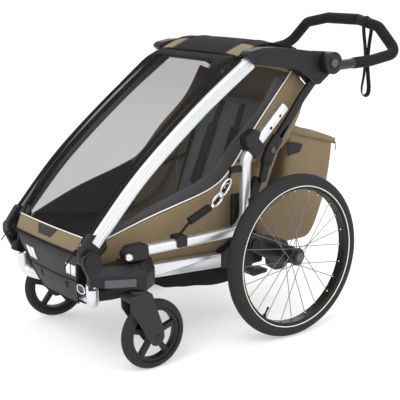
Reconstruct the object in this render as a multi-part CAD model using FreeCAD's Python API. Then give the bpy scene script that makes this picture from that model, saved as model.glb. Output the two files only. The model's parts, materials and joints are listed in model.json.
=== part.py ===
import FreeCAD, Part
import math
import os

# Child bicycle trailer in its pushing set-up. Millimetres.
# X runs to the child's left, -Y is the front, Z is up and z = 0 is the ground.
# Shapes are drawn from the rear axle line and moved AXLE_Y along Y when they are saved.
AXLE_Y = 91.4

WHEEL_X = 324.0
WHEEL_R = 250.0
TYRE_R = 23.5
TYRE_WALL = 3.0
RIM_R = 214.0
RIM_IN = 205.0
RIM_HALF = 14.5
SPOKES = 24
SPOKE_R = 1.1
AXLE_R = 6.0
RUN = 0.05

CASTER_X = 275.7
CASTER_Y = -529.0
CASTER_R = 100.6
CASTER_TYRE_R = 16.0
CASTER_TRAIL = 44.6
CASTER_TURN = {"left": -1.6, "right": 11.1}
STEM_R = 10.0
HOUSING_LOW = 238.0
HOUSING_BROW = 285.0
HOUSING_TOP = 312.0

FOLD_Y = -653.0
FOLD_Z = 331.0
FOLD_PIN_R = 8.0
LINK_Y = 161.0
LINK_Z = 762.0
LINK_PIN_R = 5.0
HUB_Y = 203.0
HUB_Z = 809.0
HUB_PIN_R = 10.0
HUB_R = 34.0
BAR_X = 254.0
BAR_R = 15.5
BAR_WALL = 2.0
SWING_Y = -99.0
SWING_Z = 287.0
SWING_PIN_R = 8.0
AXLE_Z = WHEEL_R
PEDAL_Y = -60.0
PEDAL_Z = 203.0
PEDAL_PIN_R = 5.0

WINDOW = (190.0, 194.0)
SIDE = (196.0, 198.5)
PILLAR = (199.2, 221.8)
PILLAR_DEPTH = 46.0
BRACKET = (200.0, 238.0)
UPRIGHT = (223.0, 235.0)
RAIL = (205.0, 235.0)
HITCH = (243.0, 273.0)
HITCH_DEPTH = 30.0
CABIN_HALF = 189.5

PIPING = [(-600, 364), (-436, 409), (-259, 449), (-202, 468), (-164, 490), (-115, 540), (-47, 627), (98, 787)]

V = FreeCAD.Vector
nodes = {}


def keep(name, shape):
    nodes[name] = shape


def mirrored(shape):
    return shape.mirror(V(0, 0, 0), V(1, 0, 0))


def both(name, *shapes):
    """Save left-hand pieces and their mirror images as two nodes."""
    keep(name + "_left", Part.makeCompound(shapes))
    keep(name + "_right", Part.makeCompound([mirrored(s) for s in shapes]))


def pair(name, *shapes):
    """Save left-hand pieces and their mirror images as one node."""
    keep(name, Part.makeCompound(list(shapes) + [mirrored(s) for s in shapes]))


def corner(before, point, after, radius):
    """The two tangent points and middle of the arc that rounds one corner."""
    to_a = (before - point)
    to_b = (after - point)
    reach = 0.49 * min(to_a.Length, to_b.Length)
    to_a.normalize()
    to_b.normalize()
    half = to_a.getAngle(to_b) / 2
    if half > 1.55:
        return None
    step = min(radius / math.tan(half), reach)
    r = step * math.tan(half)
    middle = to_a + to_b
    middle.normalize()
    return point + to_a * step, point + middle * (r / math.sin(half) - r), point + to_b * step


def path(points, radius):
    """An open line through the points with rounded corners."""
    points = [V(*p) for p in points]
    edges = []
    at = points[0]
    for before, point, after in zip(points, points[1:], points[2:]):
        arc = corner(before, point, after, radius)
        if arc is None:
            continue
        edges.append(Part.LineSegment(at, arc[0]).toShape())
        edges.append(Part.Arc(*arc).toShape())
        at = arc[2]
    edges.append(Part.LineSegment(at, points[-1]).toShape())
    return Part.Wire(edges)


def loop(points, radius):
    """A closed outline through the points with rounded corners."""
    points = [V(*p) for p in points]
    arcs = []
    for i, point in enumerate(points):
        arc = corner(points[i - 1], point, points[(i + 1) % len(points)], radius)
        arcs.append(arc or (point, None, point))
    edges = []
    for here, after in zip(arcs, arcs[1:] + arcs[:1]):
        if here[1]:
            edges.append(Part.Arc(*here).toShape())
        if (after[0] - here[2]).Length > 0.01:
            edges.append(Part.LineSegment(here[2], after[0]).toShape())
    return Part.Wire(edges)


def plate(outline, x0, x1, radius=6.0):
    """A flat piece with a YZ outline, as thick as x0 to x1."""
    face = Part.Face(loop([(x0, y, z) for y, z in outline], radius))
    return face.extrude(V(x1 - x0, 0, 0))


def band(line, width):
    """The YZ outline of a strip of one width that follows a line."""
    left = []
    right = []
    for i, (y, z) in enumerate(line):
        y0, z0 = line[max(i - 1, 0)]
        y1, z1 = line[min(i + 1, len(line) - 1)]
        run = math.hypot(y1 - y0, z1 - z0)
        ny = -(z1 - z0) / run * width / 2
        nz = (y1 - y0) / run * width / 2
        left.append((y + ny, z + nz))
        right.append((y - ny, z - nz))
    return left + right[::-1]


def box(x0, x1, y0, y1, z0, z1):
    return Part.makeBox(x1 - x0, y1 - y0, z1 - z0, V(x0, y0, z0))


def rod(r, x0, x1, y, z):
    """A cylinder along X."""
    return Part.makeCylinder(r, x1 - x0, V(x0, y, z), V(1, 0, 0))


def post(r, x, y, z0, z1):
    return Part.makeCylinder(r, z1 - z0, V(x, y, z0), V(0, 0, 1))


def tube(points, r, bend, wall=0.0):
    """A round tube along a bent line."""
    line = path(points, bend)
    start = V(*points[0])
    way = V(*points[1]) - start
    solid = line.makePipeShell([Part.Wire(Part.Circle(start, way, r).toShape())], True, True)
    if not wall:
        return solid
    inside = line.makePipeShell([Part.Wire(Part.Circle(start, way, r - wall).toShape())], True, True)
    return solid.cut(inside)


def oval(points, x0, x1, depth, bend, wall):
    """A flat-sided tube that bends in a YZ plane, drawn as nested strips."""
    x = (x0 + x1) / 2
    line = path([(x, y, z) for y, z in points], bend)
    start = V(x, *points[0])
    way = V(x, *points[1]) - start
    way.normalize()
    up = way.cross(V(1, 0, 0))
    shells = []
    for inset in (0.0, wall):
        half = (x1 - x0) / 2 - inset
        tall = depth / 2 - inset
        ends = [(half, tall), (-half, tall), (-half, -tall), (half, -tall)]
        ring = [start + V(1, 0, 0) * a + up * b for a, b in ends]
        shells.append(line.makePipeShell([loop(ring, half * 0.8)], True, False))
    return shells[0].cut(shells[1])


def quad(points, push):
    """A thin flat patch, pushed out from four or more points in one plane."""
    points = [V(*p) for p in points]
    return Part.Face(Part.makePolygon(points + points[:1])).extrude(V(*push))


# ---------------------------------------------------------------- chassis


def housing():
    """Moulded front corner: caster socket and the outer cheek of the folding pivot."""
    plan = [(205, -655), (232, -655), (301, -518), (263, -462.5), (205, -462.5)]
    crown = [(205, -632), (224, -632), (272, -516), (244, -462.5), (205, -462.5)]
    low = loop([(x, y, HOUSING_BROW) for x, y in plan], 14)
    high = loop([(x, y, HOUSING_TOP) for x, y in crown], 14)
    body = Part.Face(loop([(x, y, HOUSING_LOW) for x, y in plan], 14)).extrude(V(0, 0, HOUSING_BROW - HOUSING_LOW))
    body = body.fuse(Part.makeLoft([low, high], True, True))
    body = body.cut(box(190, 222.5, -700, -556, 292, 400))
    cheek = [(-652, 268), (-676, 318), (-676, 345), (-653, 357), (-626, 345), (-600, 268)]
    body = body.fuse(plate(cheek, 222.5, 236, 12))
    inside = Part.Face(loop([(213, -636, 244), (228, -636, 244), (286, -515, 244), (213, -515, 244)], 10))
    body = body.cut(inside.extrude(V(0, 0, 36)).cut(post(22, CASTER_X, CASTER_Y, 200, 300)))
    body = body.cut(rod(FOLD_PIN_R, 190, 250, FOLD_Y, FOLD_Z))
    body = body.cut(post(STEM_R + RUN, CASTER_X, CASTER_Y, 200, 291))
    return body.removeSplitter()


def fold_pin():
    pin = rod(FOLD_PIN_R, 199.2, 236, FOLD_Y, FOLD_Z)
    return pin.fuse(rod(19, 236, 241, FOLD_Y, FOLD_Z)).removeSplitter()


def housing_label():
    corners = [(250, -620, 252), (289, -543.7, 252), (289, -543.7, 274), (250, -620, 274)]
    return quad(corners, (1.0, -0.5, 0))


def base_rail():
    outer = [(-462.5, 245), (-462.5, 285), (-206, 271), (-206, 230)]
    inner = [(-480, 249), (-480, 283), (-190, 267), (-190, 233)]
    return plate(outer, RAIL[0], RAIL[1], 1).cut(plate(inner, RAIL[0] + 3, RAIL[1] - 3, 1))


def rear_node():
    """Black casting that joins the rail, the rear cross tube and the suspension pivot."""
    outer = [(-206, 226), (-206, 273), (-150, 300), (-110, 314), (-84, 308), (-80, 262), (-84, 214), (-130, 212)]
    inner = [(-100, 214), (-100, 300), (-60, 300), (-34, 262), (-34, 214)]
    return plate(outer, 204, 235, 8).fuse(plate(inner, 204, 221.5, 8)).removeSplitter()


def latch_post():
    """Upright stub that the folding rear bar latches on to."""
    line = [(-84, 301), (-80, 360), (-66, 440), (-48, 478)]
    return plate(band(line, 30), 204, 221.5, 8)


def cross_tube():
    return rod(16, -203.9, 203.9, -60, 232).cut(rod(14, -210, 210, -60, 232))


def bumper():
    line = [(200, -630, 252), (200, -628, 196), (140, -594, 187), (-140, -594, 187), (-200, -628, 196),
            (-200, -630, 252)]
    return tube(line, 17.0, 30, 2.0)


def floor_pan():
    """Fabric-covered floor tray with low side walls."""
    outer = [(-421, 262), (-421, 216), (-372, 190), (-171, 162), (-80, 176), (-80, 262)]
    inner = [(-418, 280), (-418, 219), (-371, 193), (-171, 165), (-83, 179), (-83, 280)]
    tray = plate(outer, -195.7, 195.7, 1).cut(plate(inner, -193.2, 193.2, 1))
    low = [(-195.7, 230), (-121, 168), (121, 168), (195.7, 230), (192.5, 231.5), (119.8, 171), (-119.8, 171),
           (-192.5, 231.5)]
    face = Part.Face(loop([(x, -575, z) for x, z in low], 1))
    well = face.extrude(V(0, 154.5, 0))
    return tray, well.cut(plate(outer, -195.8, 195.8, 1))


def front_panel():
    """Sloping fabric front under the cover."""
    upper = [(-171, -656, 334), (171, -656, 334), (156, -638, 249), (-156, -638, 249)]
    lower = [(-156, -638, 248.8), (156, -638, 248.8), (123, -614, 168), (-123, -614, 168)]
    return quad(upper, (0, 3, 0)), quad(lower, (0, 3, 0))


def front_reflector(x):
    """Reflective strip sewn on the front panel."""
    slope = [(x - 12, -649, 300), (x + 12, -649, 300), (x + 12, -642, 266), (x - 12, -642, 266)]
    return quad(slope, (0, -1.2, 0))


def side_panel():
    edge = [(y, z - 5) for y, z in PIPING[:5]]
    outline = [(-646, 292), (-648, 330)] + edge + [(-118, 530), (-62, 524), (-42, 440), (-44, 262), (-204, 262)]
    return plate(outline + [(-462, 276)], SIDE[0], SIDE[1], 10)


def seat():
    outline = [(-336, 226), (-346, 300), (-320, 318), (-140, 292), (-100, 292), (-100, 182), (-171, 168), (-330, 191)]
    return plate(outline, -160, 160, 14)


def seat_back():
    outline = [(-122, 296), (-96, 296), (52, 650), (60, 700), (40, 704), (26, 660)]
    return plate(outline, -165, 165, 6)


def harness(x):
    """Shoulder strap lying in front of the seat back."""
    outline = [(-125.5, 300), (-127.5, 301), (20, 659), (34, 702), (36, 701), (22, 658)]
    return plate(outline, x - 15, x + 15, 0.8)


def cargo_tray():
    outer = [(-42, 365), (-40, 256), (60, 242), (190, 240), (226, 268), (262, 365)]
    inner = [(-39, 400), (-39, 366), (-37, 259), (60, 245), (189, 243), (223.5, 270), (259, 366), (259, 400)]
    return plate(outer, -188, 188, 1).cut(plate(inner, -185, 185, 1))


def cargo_bag():
    outer = [(90, 365.2), (94, 620), (180, 590), (295, 560), (262, 365.2)]
    inner = [(93, 340), (97, 640), (180, 640), (292, 640), (291.5, 560), (258.5, 366), (258, 340)]
    bag = plate(outer, -190, 190, 1).cut(plate(inner, -187, 187, 1))
    return bag


def bag_strap(side):
    x = 185 * side
    return plate(band([(112, 616), (137, 692)], 26), x - 1.5, x + 1.5, 2)


# ---------------------------------------------------------------- folding frame

PILLAR_LINE = [(-628, 367), (-474, 531), (-267, 700), (-85, 825)]


def pillar():
    x = sum(PILLAR) / 2
    curve = Part.BSplineCurve()
    curve.interpolate([V(x, y, z) for y, z in PILLAR_LINE])
    line = Part.Wire(curve.toShape())
    start = V(x, *PILLAR_LINE[0])
    way = curve.tangent(curve.FirstParameter)[0]
    up = way.cross(V(1, 0, 0))
    up.normalize()
    shells = []
    for inset in (0.0, 2.5):
        half = (PILLAR[1] - PILLAR[0]) / 2 - inset
        tall = PILLAR_DEPTH / 2 - inset
        ends = [(half, tall), (-half, tall), (-half, -tall), (half, -tall)]
        ring = [start + V(1, 0, 0) * a + up * b for a, b in ends]
        shells.append(line.makePipeShell([loop(ring, half * 0.8)], True, False))
    return shells[0], shells[0].cut(shells[1])


def pillar_foot(solid):
    outline = [(-676, 322), (-660, 309), (-640, 311), (-590, 352), (-600, 392), (-640, 398), (-676, 350)]
    foot = plate(outline, PILLAR[0], PILLAR[1], 12)
    return foot.cut(solid).cut(rod(FOLD_PIN_R + RUN, 190, 250, FOLD_Y, FOLD_Z))


def bracket(solid):
    """Moulded corner above the wheel, slotted for the folding rear bar."""
    outline = [(-118, 846), (-80, 818), (0, 806), (78, 794), (124, 768), (150, 744), (176, 744), (215, 772)]
    outline += [(238, 800), (238, 824), (208, 842), (150, 845), (60, 858), (-4, 865), (-54, 866), (-104, 858)]
    body = plate(outline, BRACKET[0], BRACKET[1], 12)
    body = body.cut(box(222.4, 235.8, -200, 400, 700, 790))
    body = body.cut(solid)
    body = body.cut(rod(HUB_PIN_R, 214, 260, HUB_Y, HUB_Z))
    return body.cut(rod(LINK_PIN_R, 214, 260, LINK_Y, LINK_Z))


def crossbars():
    """Two tubes that join the left and right halves under the roof."""
    front = rod(9, -199, 199, -88, 820).cut(rod(7.5, -199, 199, -88, 820))
    rear = rod(9, -199.9, 199.9, 62, 838).cut(rod(7.5, -200, 200, 62, 838))
    return front, rear


def roof():
    line = [(-112, 847), (-62, 868), (-16, 876), (30, 875), (76, 862)]
    return plate(band(line, 4), -198, 198, 1.5)


def cover():
    line = [(-646, 362), (-578, 468), (-490, 562), (-344, 690), (-231, 780), (-165, 825), (-116, 842)]
    return plate(band(line, 3), -CABIN_HALF, CABIN_HALF, 1)


def cover_hem():
    strip = [(-171, -663, 338), (171, -663, 338), (177, -642, 380), (-177, -642, 380)]
    return quad(strip, (0, -3, 0))


def pull_tab(side):
    x = 182 * side
    return plate(band([(-667, 344), (-690, 328), (-707.5, 305)], 3), x - 7, x + 7, 1)


def piping():
    points = [(193.3, y, z) for y, z in PIPING]
    return tube(points, 2.2, 60)


def window(cord, bars):
    top = [(112, 846), (50, 860), (-85, 838), (-267, 712), (-474, 545), (-606, 398)]
    pane = plate(PIPING + top, WINDOW[0], WINDOW[1], 6)
    return pane.cut(cord).cut(bars)


def rear_side(cord):
    edge = [(y + 3, z - 3) for y, z in PIPING[5:]]
    outline = edge + [(150, 790), (148, 742), (60, 636), (-20, 548), (-64, 518)]
    return plate(outline, WINDOW[0], WINDOW[1], 3).cut(cord)


def rear_panel():
    return plate(band([(80, 856), (74, 780), (68, 708)], 3), -CABIN_HALF, CABIN_HALF, 1)


def upright():
    """Folding rear bar with a rounded lower end."""
    line = [(168, 772), (103, 704), (58, 648), (-14, 563), (-34, 520), (-47, 466)]
    bar = plate(band(line, 25), UPRIGHT[0], UPRIGHT[1], 11)
    bar = bar.cut(rod(LINK_PIN_R + RUN, 200, 260, LINK_Y, LINK_Z))
    return bar.cut(rod(9.3, 231, 240, -12, 560))


def sleeve(bar):
    body = plate(band([(16, 598), (-14, 563), (-36, 518)], 38), 222.6, 236.6, 8)
    return body.cut(bar).cut(rod(9.3, 230, 240, -12, 560))


def fold_button():
    return rod(9, 235.4, 239.2, -12, 560)


def link_pin():
    return rod(LINK_PIN_R, 214, 239.5, LINK_Y, LINK_Z)


def hub_pin():
    return rod(HUB_PIN_R, 214, 255, HUB_Y, HUB_Z)


# ---------------------------------------------------------------- handlebar


def handlebar():
    half = [(BAR_X, 221, 799), (BAR_X, 380, 806), (BAR_X, 500, 824), (168, 502, 903), (71, 507, 922)]
    line = half + [(-x, y, z) for x, y, z in half[::-1]]
    return tube(line, BAR_R, 42), tube(line, BAR_R, 42, BAR_WALL)


def handle_hub(bar):
    body = rod(HUB_R, 240, 268, HUB_Y, HUB_Z)
    body = body.cut(rod(HUB_PIN_R + RUN, 230, 256, HUB_Y, HUB_Z))
    body = body.cut(rod(13.4, 261, 270, HUB_Y, HUB_Z))
    return body.cut(bar)


def hub_button():
    return rod(13, 264, 271.5, HUB_Y, HUB_Z)


def grip(bar):
    return rod(18.5, -71, 71, 507, 922).cut(bar)


def wrist_strap():
    outer = [(484.5, 669), (524.5, 669), (524.5, 935), (484.5, 935)]
    inner = [(486.5, 671), (522.5, 671), (522.5, 933), (486.5, 933)]
    return plate(outer, 110, 126, 16).cut(plate(inner, 110, 126, 14))


# ---------------------------------------------------------------- wheels


def ring(r_out, r_in, x0, x1):
    return rod(r_out, x0, x1, 0, AXLE_Z).cut(rod(r_in, x0 - 1, x1 + 1, 0, AXLE_Z))


def tyre():
    mid = WHEEL_R - TYRE_R
    outer = Part.makeTorus(mid, TYRE_R, V(WHEEL_X, 0, AXLE_Z), V(1, 0, 0))
    inner = Part.makeTorus(mid, TYRE_R - TYRE_WALL, V(WHEEL_X, 0, AXLE_Z), V(1, 0, 0))
    bed = rod(RIM_R, WHEEL_X - RIM_HALF, WHEEL_X + RIM_HALF, 0, AXLE_Z)
    return outer.cut(inner).cut(bed)


def rim():
    body = ring(RIM_R, RIM_IN, WHEEL_X - RIM_HALF, WHEEL_X + RIM_HALF)
    return body.cut(ring(RIM_R + 1, RIM_IN + 3, WHEEL_X - RIM_HALF + 2.5, WHEEL_X + RIM_HALF - 2.5))


def spokes():
    """Straight spokes, leading and trailing in turn on both sides of the hub."""
    made = []
    for i in range(SPOKES):
        side = 1 if i % 2 else -1
        lead = 1 if i % 4 < 2 else -1
        there = 2 * math.pi * i / SPOKES
        here = there + lead * math.radians(68)
        x0 = WHEEL_X + side * (13.8 if lead > 0 else 10.8)
        x1 = WHEEL_X + side * (5.6 if lead > 0 else 2.2)
        start = V(x0, 24 * math.cos(here), AXLE_Z + 24 * math.sin(here))
        end = V(x1, (RIM_IN - 0.4) * math.cos(there), AXLE_Z + (RIM_IN - 0.4) * math.sin(there))
        made.append(Part.makeCylinder(SPOKE_R, (end - start).Length, start, end - start))
    return made


def hub():
    body = rod(18, 301, 349, 0, AXLE_Z)
    for x in (305.5, 339.5):
        body = body.fuse(rod(27, x, x + 3, 0, AXLE_Z))
    body = body.cut(rod(AXLE_R + RUN, 290, 332, 0, AXLE_Z))
    return body.cut(rod(13.3, 343, 350, 0, AXLE_Z)).removeSplitter()


def wheel_button():
    return rod(13, 346.5, 353, 0, AXLE_Z)


def swing_arm():
    """Suspension arm from its pivot to the axle, with a lobe for the brake."""
    outline = [(-119, 296), (-112, 316), (-92, 326), (-62, 312), (-4, 292), (32, 276), (42, 250), (38, 208)]
    outline += [(20, 190), (-16, 192), (-40, 208), (-44, 232), (-104, 264), (-119, 276)]
    body = plate(outline, 243, 262, 9)
    body = body.fuse(rod(17, 262, 297, 0, AXLE_Z))
    body = body.cut(rod(SWING_PIN_R + RUN, 230, 262, SWING_Y, SWING_Z))
    return body.cut(rod(AXLE_R, 250, 300, 0, AXLE_Z)).removeSplitter()


def swing_pin():
    pin = rod(SWING_PIN_R, 222, 262.5, SWING_Y, SWING_Z)
    return pin.fuse(rod(16, 262.5, 268, SWING_Y, SWING_Z)).removeSplitter()


def axle():
    return rod(AXLE_R, 250, 330, 0, AXLE_Z)


# ---------------------------------------------------------------- casters


def caster_fork():
    """Broad-bladed fork with its swivel stem."""
    y = CASTER_Y + CASTER_TRAIL
    blade = [(-42, 230), (28, 230), (42, 186), (66, 118), (68, 92), (54, 72), (32, 72), (16, 94), (-14, 146), (-40, 186)]
    blade = [(CASTER_Y + a, z) for a, z in blade]
    cap = [(CASTER_Y + a, z) for a, z in ((-42, 230), (28, 230), (35, 206), (-41, 206))]
    body = plate(cap, CASTER_X - 27, CASTER_X + 27, 9)
    body = body.fuse(post(24, CASTER_X, CASTER_Y, 210, 237.5))
    for x in (CASTER_X - 27, CASTER_X + 21.5):
        body = body.fuse(plate(blade, x, x + 5.5, 16))
    body = body.fuse(post(STEM_R, CASTER_X, CASTER_Y, 220, 290))
    return body.cut(rod(4, CASTER_X - 40, CASTER_X + 40, y, CASTER_R)).removeSplitter()


def caster_axle():
    y = CASTER_Y + CASTER_TRAIL
    return rod(4, CASTER_X - 30, CASTER_X + 30, y, CASTER_R)


def caster_tyre():
    mid = CASTER_R - CASTER_TYRE_R
    y = CASTER_Y + CASTER_TRAIL
    body = Part.makeTorus(mid, CASTER_TYRE_R, V(CASTER_X, y, CASTER_R), V(1, 0, 0))
    return body.cut(rod(mid - 4, CASTER_X - 20, CASTER_X + 20, y, CASTER_R))


def caster_core():
    """Five-spoked moulded wheel."""
    y = CASTER_Y + CASTER_TRAIL
    edge = CASTER_R - CASTER_TYRE_R - 4
    core = rod(edge, CASTER_X - 12, CASTER_X + 12, y, CASTER_R)
    core = core.cut(rod(edge - 11, CASTER_X - 20, CASTER_X + 20, y, CASTER_R))
    for i in range(5):
        turn = math.radians(72 * i + 18)
        tip = (y + (edge - 8) * math.cos(turn), CASTER_R + (edge - 8) * math.sin(turn))
        root = (y + 8 * math.cos(turn), CASTER_R + 8 * math.sin(turn))
        core = core.fuse(plate(band([root, tip], 15), CASTER_X - 8, CASTER_X + 8, 2))
    core = core.fuse(rod(19, CASTER_X - 20, CASTER_X + 20, y, CASTER_R))
    return core.cut(rod(4 + RUN, CASTER_X - 30, CASTER_X + 30, y, CASTER_R)).removeSplitter()


# ---------------------------------------------------------------- stowed towing arm

HITCH_LINE = [(-502, 340), (-139, 340), (-139, 553), (7, 692)]


def hitch_solid():
    x = sum(HITCH) / 2
    line = path([(x, y, z) for y, z in HITCH_LINE], 55)
    start = V(x, *HITCH_LINE[0])
    half = (HITCH[1] - HITCH[0]) / 2
    tall = HITCH_DEPTH / 2
    ring_points = [(half, tall), (-half, tall), (-half, -tall), (half, -tall)]
    outline = [start + V(a, 0, b) for a, b in ring_points]
    return line.makePipeShell([loop(outline, half * 0.8)], True, False)


def hitch_tube():
    body = oval(HITCH_LINE, HITCH[0], HITCH[1], HITCH_DEPTH, 55, 2.5)
    for y, z in ((-53, 635), (-18, 668)):
        body = body.cut(rod(5, 230, 290, y, z))
    return body


def hitch_block(solid):
    body = plate([(-562, 320), (-567, 343), (-549, 360), (-494, 361), (-490, 319)], 240.6, 275.5, 8)
    return body.cut(solid).cut(Part.makeSphere(12.2, V(276, -558, 334)))


def hitch_ball():
    return Part.makeSphere(12, V(276, -558, 334))


def hitch_collar(solid):
    body = plate(band([(-128, 566), (-92, 600)], 48), 240.6, 276.5, 8)
    lever = plate([(-152, 588), (-158, 620), (-120, 640), (-98, 628), (-118, 596)], 252, 284, 8)
    return body.fuse(lever).cut(solid).removeSplitter()


def hitch_clip():
    """Open clip that the stowed arm lifts out of."""
    stalk = plate([(-166, 300), (-166, 444), (-112, 444), (-112, 315)], 224, 238, 6)
    back = box(238, 242.4, -160, -117, 406, 436)
    hook = box(238, 277, -121.4, -117, 406, 436)
    lip = box(273.6, 277, -135, -117, 406, 436)
    return stalk.fuse(back).fuse(hook).fuse(lip).removeSplitter()


def tether():
    line = [(262, -380, 366), (262, -349, 396), (262, -271, 428), (262, -242, 444), (258, -205, 481), (256, -189, 524)]
    return tube(line, 4.0, 14)


def tether_sleeve(cord):
    return tube([(262, -340, 400), (262, -278, 425)], 8, 5).cut(cord)


def tether_wrap(solid, cord):
    wrap = plate([(-396, 331), (-396, 364), (-362, 364), (-362, 331)], 240.6, 276.5, 5)
    return wrap.cut(solid).cut(cord)


def tether_ring(y, z, cord):
    return Part.makeTorus(9, 2, V(260, y, z), V(1, 0, 0)).cut(cord)


def tether_eyelet(solid, cord):
    return plate([(-192, 516), (-192, 533), (-145, 533), (-145, 516)], 249, 264, 4).cut(solid).cut(cord)


# ---------------------------------------------------------------- brake


def brake_bracket():
    ears = []
    for x in (123.0, 172.0):
        ear = plate([(-74, 230), (-70, 194), (-50, 194), (-46, 230)], x, x + 5, 4)
        ears.append(ear.cut(rod(16, 100, 200, -60, 232)))
    pin = rod(PEDAL_PIN_R, 123, 177, PEDAL_Y, PEDAL_Z)
    return ears[0].fuse(ears[1]).fuse(pin).removeSplitter()


def brake_pedal():
    outline = [(-74, 210), (-74, 196), (-24, 150), (30, 154), (34, 166), (-16, 168), (-46, 208)]
    return plate(outline, 129, 171, 4).cut(rod(PEDAL_PIN_R + RUN, 100, 200, PEDAL_Y, PEDAL_Z))


# ---------------------------------------------------------------- assembly


def chassis():
    corner_block = housing()
    node = rear_node().fuse(latch_post()).removeSplitter()
    pair("front_housings", corner_block)
    pair("chassis_pins", fold_pin(), swing_pin())
    pair("base_rails", base_rail())
    pair("rear_nodes", node.cut(rod(SWING_PIN_R, 220, 240, SWING_Y, SWING_Z)))
    keep("cross_tube", Part.makeCompound([cross_tube(), brake_bracket()]))
    keep("bumper_tube", bumper().cut(corner_block).cut(mirrored(corner_block)))
    keep("floor_tray", Part.makeCompound(floor_pan()))
    keep("front_panel", Part.makeCompound(front_panel()))
    pair("reflectors", housing_label().cut(corner_block), front_reflector(113.5))
    pair("side_panels", side_panel())
    keep("seat_base", seat())
    keep("seat_back", seat_back())
    pair("webbing", harness(62), bag_strap(1))
    keep("cargo_tray", cargo_tray())
    keep("cargo_bag", cargo_bag())
    keep("hitch_clip", hitch_clip().cut(node))
    keep("brake_pedal", brake_pedal())


def folding_frame():
    solid, hollow = pillar()
    pair("pillars", hollow)
    pair("frame_mouldings", pillar_foot(solid), bracket(solid))
    pair("frame_pins", link_pin(), hub_pin())
    keep("crossbars", Part.makeCompound(crossbars()))
    keep("roof", roof())
    keep("front_cover", cover())
    keep("cover_hem", cover_hem())
    keep("pull_tabs", Part.makeCompound([pull_tab(1), pull_tab(-1)]))
    cord = piping()
    bars = rod(9, -210, 210, -88, 820).fuse(rod(9, -210, 210, 62, 838))
    pair("window_piping", cord)
    pair("side_windows", window(cord, bars))
    flank = rear_side(cord)
    keep("rear_fabric", Part.makeCompound([rear_panel(), flank, mirrored(flank)]))
    arm = upright()
    both("rear_upright", arm, sleeve(arm))
    both("fold_button", fold_button())


def handle():
    solid, hollow = handlebar()
    keep("handlebar", hollow)
    keep("grip", grip(solid))
    keep("wrist_strap", wrist_strap())
    pair("handle_hubs", handle_hub(solid))
    both("hub_button", hub_button())


def wheels():
    both("tyre", tyre())
    both("rim", rim())
    both("spoked_hub", hub(), *spokes())
    both("wheel_button", wheel_button())
    both("swing_arm", swing_arm(), axle())


def casters():
    pieces = {"caster_fork": [caster_fork(), caster_axle()], "caster_tyre": [caster_tyre()]}
    pieces["caster_core"] = [caster_core()]
    for name, shapes in pieces.items():
        left = Part.makeCompound(shapes)
        right = left.copy()
        left.rotate(V(CASTER_X, CASTER_Y, 0), V(0, 0, 1), CASTER_TURN["left"])
        right.rotate(V(CASTER_X, CASTER_Y, 0), V(0, 0, 1), CASTER_TURN["right"])
        keep(name + "_left", left)
        keep(name + "_right", mirrored(right))


def towing_arm():
    solid = hitch_solid()
    strap = tether()
    keep("hitch_tube", hitch_tube())
    keep("hitch_block", hitch_block(solid))
    keep("hitch_collar", hitch_collar(solid))
    keep("tether_cord", strap)
    fittings = [tether_sleeve(strap), tether_wrap(solid, strap), tether_eyelet(solid, strap)]
    keep("tether_fittings", Part.makeCompound(fittings))
    rings = [tether_ring(-242, 444, strap), tether_ring(-207, 479, strap)]
    keep("hitch_steel", Part.makeCompound([hitch_ball()] + rings))


chassis()
folding_frame()
handle()
wheels()
casters()
towing_arm()
os.makedirs("parts", exist_ok=True)
for node, shape in nodes.items():
    shape.translate(V(0, AXLE_Y, 0))
    shape.exportStep("parts/" + node + ".step")
print(len(nodes), "nodes")
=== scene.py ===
import json
import math
import bmesh
import bpy
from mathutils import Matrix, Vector, noise

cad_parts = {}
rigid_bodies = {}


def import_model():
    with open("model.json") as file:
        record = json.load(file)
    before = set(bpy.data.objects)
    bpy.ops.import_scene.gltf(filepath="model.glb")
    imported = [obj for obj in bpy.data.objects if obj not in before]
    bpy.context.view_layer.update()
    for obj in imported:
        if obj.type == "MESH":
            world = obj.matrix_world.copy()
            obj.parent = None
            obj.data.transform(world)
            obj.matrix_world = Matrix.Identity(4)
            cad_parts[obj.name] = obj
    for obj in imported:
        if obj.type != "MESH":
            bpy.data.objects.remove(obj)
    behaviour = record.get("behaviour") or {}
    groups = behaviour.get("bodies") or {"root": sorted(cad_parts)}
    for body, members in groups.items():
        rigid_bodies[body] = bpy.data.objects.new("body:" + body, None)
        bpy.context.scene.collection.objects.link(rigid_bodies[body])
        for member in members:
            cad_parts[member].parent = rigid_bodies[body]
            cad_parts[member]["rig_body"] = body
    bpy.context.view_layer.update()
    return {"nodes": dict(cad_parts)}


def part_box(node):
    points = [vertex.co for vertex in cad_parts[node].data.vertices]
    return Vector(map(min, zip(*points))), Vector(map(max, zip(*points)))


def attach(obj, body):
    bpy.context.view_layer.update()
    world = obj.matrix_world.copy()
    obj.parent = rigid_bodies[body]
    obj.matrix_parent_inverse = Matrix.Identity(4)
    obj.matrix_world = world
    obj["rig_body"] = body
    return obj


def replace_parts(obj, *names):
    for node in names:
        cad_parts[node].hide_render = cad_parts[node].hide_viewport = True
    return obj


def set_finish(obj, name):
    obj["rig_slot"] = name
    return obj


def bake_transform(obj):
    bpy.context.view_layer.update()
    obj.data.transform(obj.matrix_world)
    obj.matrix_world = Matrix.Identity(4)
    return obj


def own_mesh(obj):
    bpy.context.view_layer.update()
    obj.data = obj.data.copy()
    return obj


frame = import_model()

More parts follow.
